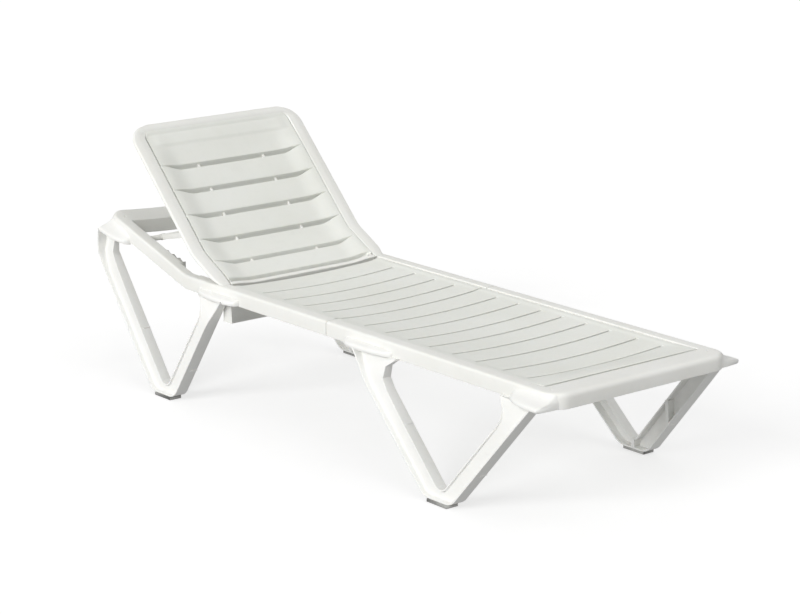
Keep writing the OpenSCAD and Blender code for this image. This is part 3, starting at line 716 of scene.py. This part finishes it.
def leg_line(y):
    """Height of the legs' top edge, under the rail's shoulder."""
    if y <= KINK_Y:
        return LEG_TOP
    return LEG_TOP + (y - KINK_Y) * (math.tan(KINK) - HEAD_SINK / (HALF_L - KINK_Y))


def cross_point(p, u, q, v):
    """Where the line through p along u meets the line through q along v."""
    area = u.x * v.y - u.y * v.x
    t = ((q.x - p.x) * v.y - (q.y - p.y) * v.x) / area
    return p + u * t


def rounded_path(points, radii, steps):
    """Open path with its inner corners rounded, each by its radius in equal steps."""
    made = []
    last = len(points) - 1
    for i, p in enumerate(points):
        if i in (0, last):
            made.append(p)
            continue
        a = (points[i - 1] - p).normalized()
        b = (points[i + 1] - p).normalized()
        r = radii[i]
        turn = math.pi - a.angle(b)
        reach = r * math.tan(turn / 2)
        p0 = p + a * reach
        p1 = p + b * reach
        bis = (a + b).normalized()
        centre = p + bis * math.sqrt(r * r + reach * reach)
        start = p0 - centre
        whole = start.angle_signed(p1 - centre)
        for k in range(steps + 1):
            t = -whole * k / steps
            c, s = math.cos(t), math.sin(t)
            made.append(centre + Vector((start.x * c - start.y * s, start.x * s + start.y * c)))
    return made


def normals_of(points):
    """Unit normals along a path, all on the same side."""
    made = []
    for i in range(len(points)):
        before = points[max(0, i - 1)]
        after = points[min(len(points) - 1, i + 1)]
        d = (after - before).normalized()
        made.append(Vector((d.y, -d.x)))
    return made


def leg_axes(p):
    """Directions down the first limb and up the second, and across each towards the opening."""
    a, b, c, d = (Vector(q) for q in p)
    down = (b - a).normalized()
    up = (d - c).normalized()
    mid = (b + c) / 2
    in_a = Vector((down.y, -down.x))
    if in_a.dot(mid - a) < 0:
        in_a = -in_a
    in_d = Vector((up.y, -up.x))
    if in_d.dot(mid - d) < 0:
        in_d = -in_d
    return down, up, in_a, in_d


def meet_height(point, direction, height):
    """Moves a point along its direction until it reaches the height that holds at its y."""
    q = point
    for _ in range(12):
        q = q - direction * ((q.y - height(q.x)) / direction.y)
    return q


def limb_top(y):
    """Height of the flange's end, just under the shelf."""
    return leg_line(y) - TOP_DROP


def under_rail(y):
    """Height of the web's edge where it runs along under the rail."""
    return SEAT - RAIL_D + 3.0 + max(0.0, y - KINK_Y) * math.tan(KINK) * 0.97


def gusset_end(corner, direction, into):
    """End of the short run of web along the rail, towards the middle of the opening."""
    side = 1.0 if direction.x * into > 0 else -1.0
    y = corner.x + side * (30.0 if corner.x > KINK_Y else 46.0)
    return Vector((y, under_rail(y)))


def leg_stations(p):
    """Outline of the V matched to the outline of its opening, both from top to top."""
    a, b, c, d = (Vector(q) for q in p)
    down, up, in_a, in_d = leg_axes(p)
    head = a.x > 0
    outer = [meet_height(a, down, limb_top), b, c, meet_height(d, up, limb_top)]
    bends = [0, 46, 46, 0]
    if head:
        knee = a + down * ((HEAD_KNEE - a.x) / down.x)
        outer = [Vector((HEAD_KNEE, limb_top(HEAD_KNEE))), knee] + outer[1:]
        bends = [0, 30, 46, 46, 0]
    first = a + in_a * LIMB
    second = d + in_d * LIMB
    corner_a = meet_height(first, down, under_rail)
    corner_d = meet_height(second, up, under_rail)
    tip = cross_point(first, down, second, up)
    inner = [gusset_end(corner_a, down, 1), corner_a, tip, corner_d, gusset_end(corner_d, up, -1)]
    turns = [0, 24 if head else 40, 26, 40, 0]
    return match_paths(rounded_path(outer, bends, 8), rounded_path(inner, turns, 10))


def along(path, fractions):
    """Points at the given fractions of the path's length."""
    lengths = [0.0]
    for a, b in zip(path, path[1:]):
        lengths.append(lengths[-1] + (b - a).length)
    made = []
    for f in fractions:
        want = f * lengths[-1]
        i = 1
        while i < len(lengths) - 1 and lengths[i] < want:
            i += 1
        a, b = path[i - 1], path[i]
        t = (want - lengths[i - 1]) / max(1e-6, lengths[i] - lengths[i - 1])
        made.append(a.lerp(b, t))
    return made


def side_split(path, low):
    """First and last point of the path's part that lies below low."""
    bottom = [i for i in range(len(path)) if path[i].y < low]
    return min(bottom), max(bottom)


def match_paths(outer, inner):
    """Stations that join the outer path to the inner one, corner to corner."""
    o0, o1 = side_split(outer, 130.0)
    tip_low = min(q.y for q in inner) + 20.0
    i0, i1 = side_split(inner, tip_low)
    limb = [i / 14 for i in range(14)]
    foot = [i / 26 for i in range(27)]
    up = [i / 14 for i in range(1, 15)]
    outs = along(outer[: o0 + 1], limb) + along(outer[o0: o1 + 1], foot) + along(outer[o1:], up)
    ins = along(inner[: i0 + 1], limb) + along(inner[i0: i1 + 1], foot) + along(inner[i1:], up)
    out_n = normals_of(outs)
    in_n = normals_of(ins)
    centre = sum(ins, Vector((0.0, 0.0))) / len(ins)
    made = []
    middle = len(outs) // 2
    outward = 1.0 if out_n[middle].dot(outs[middle] - centre) > 0 else -1.0
    inward = 1.0 if in_n[middle].dot(outs[middle] - ins[middle]) > 0 else -1.0
    for o, on, i, inn in zip(outs, out_n, ins, in_n):
        made.append((o, on * outward, i, inn * inward))
    return made


def leg_place(sign, top):
    """Maps (y, z) and the distance outboard of the rail to the leaned leg."""
    lean = math.atan((LEG_REACH - FLANGE - HALF_W - LEG_GAP) / top)
    c, s = math.cos(lean), math.sin(lean)

    def made(flat, out):
        down = top - flat.y
        x = HALF_W + LEG_GAP + out * c + down * s
        return Vector((sign * x, flat.x, max(top - down * c, PAD_TOP)))
    return made


def leg_profile(stations, tops):
    """C section of the limb: flange outside, web plate, lip; it nears the rail's side at the tops."""
    width = LIMB
    last = len(stations) - 1

    def made(k):
        near = min(k, last - k)
        grown = smooth_step(near / 4)
        web = lerp(WEB_TOP, WEB_OUT, grown)
        edge = lerp(tops[0] if k < last / 2 else tops[1], FLANGE, grown)
        lip = web + lerp(0.6, 6.0, smooth_step(near / 9))
        back = web - 4
        corners = [
            (0.0, 0.6, 0.2), (0.0, edge, 2.2), (4.4, edge, 2.2), (5.4, web, 8.0),
            (width - 5, web, 5.0), (width - 4, lip, 0.5), (width, lip, 1.4), (width, min(0.6, back), 0.4),
            (width - 4, min(0.6, back), 0.2), (width - 4.5, back, 0.5), (5.0, back, 0.5), (4.5, 0.6, 0.2),
        ]
        return profile(corners, width, 4)
    return made


def build_leg(name, p, sign):
    """One V leg: its shell, the ribs inside it and the shelves on its limbs."""
    front = p[0][0] < 0
    place = leg_place(sign, LEG_TOP if front else leg_line(HALF_L))
    stations = leg_stations(p)
    tops = (26.0, FLANGE - 2) if front else (FLANGE - 2, 26.0)
    section = leg_profile(stations, tops)
    skin = sweep(f"{name}_skin", stations, section, place, "frame", WHITE_LEG)
    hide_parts(name)
    leg_ribs(name, p, min(q[2].y for q in stations) - 1.0, place)
    leg_shoulders(name, p, sign)


def leg_ribs(name, p, low, place):
    """Upright stiffening ribs inboard: across each limb, and at the foot up to low."""
    a, b, c, d = (Vector(q) for q in p)
    down, up, in_a, in_d = leg_axes(p)
    z = LEG_TOP * 0.42
    for n, (point, direction, inward) in enumerate(((a, down, in_a), (d, up, in_d))):
        mid = point + inward * (LIMB / 2)
        mid = mid - direction * ((mid.y - z) / direction.y)
        reach = (LIMB / 2 - 2) / abs(inward.y)
        upright_rib(f"{name}_rib{n}", mid, reach, place)
    foot_z = PAD_TOP + 2
    half = (low - foot_z) / 2
    upright_rib(f"{name}_rib2", Vector(((b.x + c.x) / 2, foot_z + half)), half, place)


def upright_rib(name, mid, reach, place):
    """A rib round mid that stands reach up and down from it."""
    def at(q):
        return place(Vector((q.x, q.y)), q.z)
    block(
        name, (mid.x - 6.0, mid.y - reach, 0.4), (mid.x + 6.0, mid.y + reach, WEB_OUT - 2),
        "frame", WHITE_LEG, 0.9, at, (1, 6, 1),
    )


def leg_shoulders(name, p, sign):
    """Faired shelves on top of the limbs that run out of the rail's side."""
    if p[0][0] < 0:
        shoulder(f"{name}_horn", sign, -HALF_L + 9, -HALF_L + 150, 48.0, 22.0, 0.06)
        shoulder(f"{name}_shelf", sign, p[0][0] - 150, p[0][0] + 40, 27.0, 5.0, 0.72)
    else:
        shoulder(f"{name}_shelf", sign, p[3][0] - 40, p[3][0] + 150, 27.0, 5.0, 0.28)
        shoulder(f"{name}_horn", sign, HALF_L - 120, HALF_L - 9, 39.0, 26.0, 0.94)


def shoulder(name, sign, y0, y1, width, crest, peak):
    """A shelf that rises in a hollow curve to the rail's side; widest at the peak."""
    section = [
        (-1.5, crest), (0.6, crest - 1.0), (width * 0.10, crest * 0.72),
        (width * 0.24, crest * 0.46), (width * 0.45, crest * 0.22), (width * 0.7, crest * 0.05),
        (width * 0.88, -1.6), (width * 0.97, -4.4),
        (width, -8.0), (width * 0.98, -12.0), (width * 0.93, -13.5), (-1.5, -13.5),
    ]
    steps = 36
    verts = []
    for k in range(steps + 1):
        t = k / steps
        y = lerp(y0, y1, t)
        grow = shelf_width(t, peak)
        fade = math.sqrt(grow)
        for out, rise in section:
            share = max(0.0, out) / width
            x = lerp(corner_edge(y) - 1.5, HALF_W + LEG_GAP + width * grow, share)
            z = leg_line(y) + (rise * fade if rise > 0 else rise)
            verts.append((sign * x, y, z))
    new_object(name, verts, skin_faces(steps + 1, len(section)), "frame", WHITE_LEG)


def corner_edge(y):
    """Half width of the frame at y, which turns in round its corners."""
    over = abs(y) - (HALF_L - CORNER_R)
    if over <= 0:
        return HALF_W
    return HALF_W - CORNER_R + math.sqrt(max(0.0, CORNER_R ** 2 - over ** 2))


def shelf_width(t, peak):
    """Share of the full width along the shelf: round at both ends, fullest at the peak."""
    u = 1 - t / peak if t < peak else (t - peak) / (1 - peak)
    return max(0.02, math.sqrt(max(0.0, 1 - u ** 2.2)))


def build_legs():
    """The four legs."""
    for side, sign in (("left", -1), ("right", 1)):
        build_leg(f"leg_front_{side}", FRONT_LEG, sign)
        build_leg(f"leg_rear_{side}", REAR_LEG, sign)


# ---------- backrest ----------


def back_angle(v):
    """Slope of the backrest at v, measured from its bend."""
    return BACK_OPEN + BACK_BEND * smooth_step((v + 16) / 32)


def back_curve():
    """The backrest's top line as a table of (y, z) by v, with its bend softened."""
    table = {0: (0.0, 0.0)}
    for step, end in ((1, 600), (-1, -200)):
        for v in range(0, end, step):
            a = back_angle(v + step * 0.5)
            y, z = table[v]
            table[v + step] = (y + step * math.cos(a), z + step * math.sin(a))
    return table


BACK_TABLE = back_curve()
LIFT = SEAT + 11.0 - HINGE.z
BEND_Y = HINGE.y + BACK_LOW_L * math.cos(BACK_OPEN) - LIFT * math.sin(BACK_OPEN)
BEND_Z = HINGE.z + BACK_LOW_L * math.sin(BACK_OPEN) + LIFT * math.cos(BACK_OPEN)


def back_point(x, v, h):
    """Point of the backrest at x, v up along it and h above its top line."""
    low = math.floor(v)
    y0, z0 = BACK_TABLE[low]
    y1, z1 = BACK_TABLE[low + 1]
    t = v - low
    a = back_angle(v)
    y = BEND_Y + lerp(y0, y1, t) - h * math.sin(a)
    z = BEND_Z + lerp(z0, z1, t) + h * math.cos(a)
    return Vector((x, y, z))


def rim_section(stations):
    """Crowned bead of the rim; it thins to a rounded toe at both feet."""
    width = RIM_W
    last = len(stations) - 1

    def made(k):
        t = smooth_step((min(k, last - k) + 1) / 7)
        low = -lerp(6.0, RIM_T, t)
        top = -lerp(2.2, 0.0, t)
        corners = [
            (0.4, low, 1.5), (0.0, -5.5, 3.0), (4.0, top - 1.3, 4.0), (width / 2, top, 14.0),
            (width - 3.0, top - 0.6, 2.5), (width - 0.8, -3.4, 1.6), (width - 1, low - 3.5, 1.2),
            (width - 4, low - 3.5, 1.2), (width - 5, low + 4.0, 2.0), (5.0, low + 4.0, 2.0),
            (4.0, low, 1.2),
        ]
        return profile(corners, width, 4)
    return made


def rim_place(flat, height):
    """Maps a point of the flat backrest and its height to the bent one."""
    return back_point(flat.x, flat.y, height)


def build_rim():
    """The rim up one side of the backrest, over its top and down the other side."""
    stations = u_stations(
        BACK_FOOT_V + 2, BACK_UP_L, HALF_W, 60.0, RIM_IN, 22.0, 28.0, rows=60, turn=18, across=30
    )
    stations = toe_taper(stations)
    section = rim_section(stations)
    rim = sweep("back_rim", stations, section, rim_place, "backrest", WHITE_BACK)
    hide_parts("back_frame")


def toe_taper(stations):
    """Draws the rim's outer edge in over the first and last stations."""
    made = []
    last = len(stations) - 1
    for k, (outer, out_n, inner, in_n) in enumerate(stations):
        end = min(k, last - k)
        pull = 9.0 * (1 - smooth_step(end / 5)) if end < 5 else 0.0
        made.append((outer - out_n * pull, out_n, inner + in_n * pull * 0.3, in_n))
    return made


BACK_GAPS = (292.0, 207.0, 120.0, 35.0, -49.0)
BACK_HALF = RIM_IN - 2.0
BACK_SLIT = 15.0


def gap_edges(x, middle):
    """Lower and upper limit of one gap band at x; the lower one climbs near the ends."""
    a = abs(x)
    low = middle - BACK_SLIT / 2
    high = middle + BACK_SLIT / 2
    climb = smooth_step((a - 180) / 66)
    return lerp(low, high - 1.5, climb), high


def back_surface_drop(x, v):
    """Depth of the slats below the rim: a rise towards each side and a shallow dish."""
    a = abs(x)
    flank = 10.0 * smooth_step((BACK_HALF - a) / 78)
    dish = 2.0 * max(0.0, 1 - (a / 236) ** 2)
    top = smooth_step((v - 300) / 100)
    fold = 2.6 * smooth_step((v - 362) / 10) * smooth_step((240 - a) / 30) * smooth_step((412 - v) / 12)
    depth = lerp(0.5 + flank + dish, 3.0 + 0.25 * flank, top) - fold
    return lerp(depth, 0.4, smooth_step((v - 404) / 10))


def slat_profile(low, high):
    """Rows of one slat from its turned-back lower edge to its rounded upper edge: (v, lift)."""
    span = high - low
    rows = lower_edge(low)
    for t in (0.12, 0.28, 0.45, 0.62, 0.78, 0.9):
        rows.append((low + span * t, 0.9 * math.sin(math.pi * t)))
    rows += [(high - 5.0, 0.3), (high - 3.2, 0.0), (high - 1.6, -1.0)]
    rows += [(high - 0.5, -2.6), (high, -5.0), (high, -8.0)]
    return rows


def lower_edge(low):
    """Sharp lower edge, a steep face behind it, and a foot that turns down."""
    return [
        (low - 8.8, -17.0), (low - 5.5, -14.6), (low - 3.4, -11.0), (low - 2.2, -6.5),
        (low - 1.0, -2.4), (low, -0.6), (low + 1.6, 0.0),
    ]


def back_slat_grid(name, low_gap, high_gap, top_v=None):
    """One slat between two gap bands, or the header up to top_v."""
    columns = [BACK_HALF * i / 30 for i in range(-30, 31)]
    verts = []
    count = 0
    for x in columns:
        low = gap_edges(x, low_gap)[1] if low_gap is not None else PANEL_FOOT_V
        high = gap_edges(x, high_gap)[0] if high_gap is not None else header_top(x, top_v)
        rows = header_rows(low, high) if high_gap is None else slat_profile(low, high)
        count = len(rows)
        reach = smooth_step((BACK_HALF + 1 - abs(x)) / 22)
        for v, lift in rows:
            base = back_surface_drop(x, v)
            verts.append(back_point(x, v, -base + lift * reach))
    faces = []
    for i in range(len(columns) - 1):
        for j in range(count - 1):
            a = i * count + j
            faces.append((a, a + 1, a + count + 1, a + count))
    obj = new_object(name, verts, faces, "backrest", WHITE_PANEL)
    thicken(obj, 3.0)
    add_bevel(obj, 0.7, 2, 50)
    if obj.data.polygons[len(obj.data.polygons) // 2].normal.dot(Vector((0, -0.7, 0.7))) < 0:
        obj.data.flip_normals()
    return obj


def header_top(x, top_v):
    """Upper edge of the header, with rounded corners."""
    r = 18.0
    over = abs(x) - (BACK_HALF - r)
    if over <= 0:
        return top_v
    return top_v - r + math.sqrt(max(0.0, r * r - over * over))


def header_rows(low, high):
    """Rows of the header from its lower edge to its top: (v, lift)."""
    rows = lower_edge(low)
    steps = 40
    for i in range(1, steps + 1):
        rows.append((lerp(low + 2, high, i / steps), 0.0))
    return rows


PANEL_FOOT_V = -119.0
PANEL_HEAD_V = BACK_UP_L - 17.0


def build_panel():
    """The header, the slats below it, and the stringers and borders that join them."""
    header = back_slat_grid("back_header", BACK_GAPS[0], None, PANEL_HEAD_V)
    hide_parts("back_panel")
    for i, gap in enumerate(BACK_GAPS):
        below = BACK_GAPS[i + 1] if i + 1 < len(BACK_GAPS) else None
        back_slat_grid(f"back_slat_{i}", below, gap)
    low, high = PANEL_FOOT_V + 4, PANEL_HEAD_V - 16
    border_x = BACK_HALF - 2.6
    for sign, side in ((-1, "left"), (1, "right")):
        back_bar(f"back_stringer_{side}", sign * DECK_STRINGER_X, 7.0, low, high, -19.0, -27.0)
        back_bar(f"back_border_{side}", sign * border_x, 5.0, BACK_FOOT_V + 14, high - 14, -3.5, -13.0)


def back_bar(name, x, width, v0, v1, h0, h1, bevel=1.2):
    """A bar that follows the backrest's bend, width wide and from h0 down to h1."""
    def at(q):
        return back_point(q.x, q.y, q.z)
    block(
        name, (x - width / 2, v0, h1), (x + width / 2, v1, h0),
        "backrest", WHITE_BACK, bevel, at, (1, 60, 1),
    )


def build_back_parts():
    """Foot bar, ledge behind the header, and the channels with their lugs and prop bosses."""
    foot_bar()
    ledge_w = 2 * RIM_IN + 2
    back_bar("back_top_ledge", 0.0, ledge_w, BACK_UP_L - 52, BACK_UP_L - 18, -8.5, -12.0)
    for sign, side in ((-1, "left"), (1, "right")):
        x = sign * CHANNEL_X
        back_bar(f"back_channel_{side}", x, 14.0, BACK_FOOT_V + 3, 329.0, -14.5, -21.8, 1.5)
        lug(f"back_lug_{side}", HINGE, x, 14.0, 13.6)
        lug(f"prop_boss_{side}", PROP_HINGE, x, 13.0, 9.3)


def foot_bar():
    """Bar across the foot of the backrest, which sags with the panel."""
    def at(q):
        sag = 9.0 * smooth_step((BACK_HALF - abs(q.x)) / 90)
        return back_point(q.x, q.y, q.z - sag)
    half = RIM_IN + 1.0
    block(
        "back_foot_bar", (-half, BACK_FOOT_V + 0.5, -19.0), (half, BACK_FOOT_V + 12, -2.0),
        "backrest", WHITE_BACK, 2.5, at, (60, 1, 1),
    )


def lug(name, centre, x, width, radius, sides=40):
    """A round lug across X with softened rims."""
    verts = []
    rows = ((-0.5, 0.94), (-0.46, 0.98), (-0.40, 1.0), (0.40, 1.0), (0.46, 0.98), (0.5, 0.94))
    for along_x, scale in rows:
        for i in range(sides):
            t = 2 * math.pi * i / sides
            verts.append((
                x + along_x * width, centre.y + math.cos(t) * radius * scale,
                centre.z + math.sin(t) * radius * scale,
            ))
    new_object(name, verts, skin_faces(len(rows), sides), "backrest", WHITE_BACK)


# ---------- parts shown from the CAD mesh ----------


def dress(name, material, bevel):
    """Keeps a CAD mesh, cleans its flat faces, softens its edges and gives it a material."""
    obj = bpy.context.scene.objects[name]
    obj.data.materials.clear()
    obj.data.materials.append(material)
    weld = obj.modifiers.new("weld", "WELD")
    weld.merge_threshold = 0.00002
    flat = obj.modifiers.new("flat_faces", "DECIMATE")
    flat.decimate_type = "DISSOLVE"
    flat.angle_limit = math.radians(1.0)
    if bevel:
        add_bevel(obj, bevel, 2, 30)


def dress_cad_parts():
    """The beam, racks, pads, pins, prop and screws keep their CAD shapes."""
    dress("rear_cross_beam", WHITE, 1.6)
    for side in ("left", "right"):
        dress(f"rack_{side}", WHITE, 0.7)
        dress(f"spigot_{side}", WHITE, 0.8)
        dress(f"pad_front_{side}", RUBBER, None)
        dress(f"pad_rear_{side}", RUBBER, None)
        dress(f"hinge_pin_{side}", STEEL, 0.5)
        dress(f"prop_pin_{side}", STEEL, 0.5)
        dress(f"prop_cap_{side}", WHITE_PROP, 0.6)
    dress("prop_bail", WHITE_PROP, 1.2)
    for name in ("joint_screws", "leg_screws", "deck_screws", "rack_screws", "back_screws"):
        dress(name, ZINC, 0.25)


# ---------- stage ----------


def floor():
    """A plain pale floor, a millimetre under the pads, that throws no light back."""
    size = 60.0 * MM
    corners = [(-size, -size, -1.0), (size, -size, -1.0), (size, size, -1.0), (-size, size, -1.0)]
    obj = bare_mesh("floor", corners, [(0, 1, 2, 3)])
    material, tree, shader, coords = start_material("pale_floor", 0.9)
    grain = noise(tree, coords, 7.0, 4.0, 0.5)
    colour = ramp(tree, grain, ((0.2, (0.44, 0.44, 0.44)), (0.8, (0.46, 0.46, 0.46))))
    tree.links.new(colour, shader.inputs["Base Color"])
    shader.inputs["Emission Color"].default_value = (1.0, 1.0, 1.0, 1.0)
    shader.inputs["Emission Strength"].default_value = 0.6
    obj.data.materials.append(material)
    obj.visible_diffuse = False
    obj.visible_glossy = False


def sun_light(name, towards, strength, spread_deg, colour):
    """A wide soft light that comes from the given direction."""
    data = bpy.data.lights.new(name, "SUN")
    data.energy = strength
    data.angle = math.radians(spread_deg)
    data.color = colour
    obj = bpy.data.objects.new(name, data)
    obj.rotation_euler = Vector(towards).to_track_quat("Z", "Y").to_euler()
    bpy.context.scene.collection.objects.link(obj)


def world_light(above, below):
    """Studio surround, brighter overhead than from the floor side."""
    world = bpy.data.worlds.new("studio")
    world.use_nodes = True
    tree = world.node_tree
    back = tree.nodes["Background"]
    coords = node(tree, "ShaderNodeTexCoord").outputs["Generated"]
    split = node(tree, "ShaderNodeSeparateXYZ")
    tree.links.new(coords, split.inputs["Vector"])
    level = spread(tree, split.outputs["Z"], -0.35, 0.35, below, above)
    tree.links.new(level, back.inputs["Strength"])
    back.inputs["Color"].default_value = (1.0, 1.0, 1.0, 1.0)
    bpy.context.scene.world = world


def camera():
    """Long lens from the foot end's left, a little above the lounger."""
    forward = Vector((0.612, 0.7487, -0.2548)).normalized()
    right = Vector((0.7743, -0.6329, 0.0)).normalized()
    up = right.cross(forward).normalized()
    turn = Matrix.Rotation(math.radians(0.11), 3, forward)
    right, up = turn @ right, turn @ up
    data = bpy.data.cameras.new("camera")
    data.lens = 115.75
    data.sensor_width = 36.0
    data.sensor_fit = "HORIZONTAL"
    data.clip_end = 100.0
    obj = bpy.data.objects.new("camera", data)
    axes = Matrix((right, up, -forward)).transposed().to_4x4()
    obj.matrix_world = Matrix.Translation(Vector((-4.2686, -5.2427, 2.1092))) @ axes
    bpy.context.scene.collection.objects.link(obj)
    bpy.context.scene.camera = obj


def lights():
    """Even studio light with a soft key from the left and a weak fill from the foot end."""
    world_light(0.52, 0.44)
    sun_light("key", (-0.88, -0.12, 0.42), 2.1, 30, (1.0, 1.0, 1.0))
    sun_light("fill", (0.1, -0.6, 0.8), 0.5, 60, (1.0, 0.998, 0.98))


scene = bpy.context.scene
scene.view_settings.view_transform = "Standard"
scene.view_settings.look = "None"
build_frames()
build_decks()
build_legs()
build_rim()
build_panel()
build_back_parts()
dress_cad_parts()
floor()
camera()
lights()
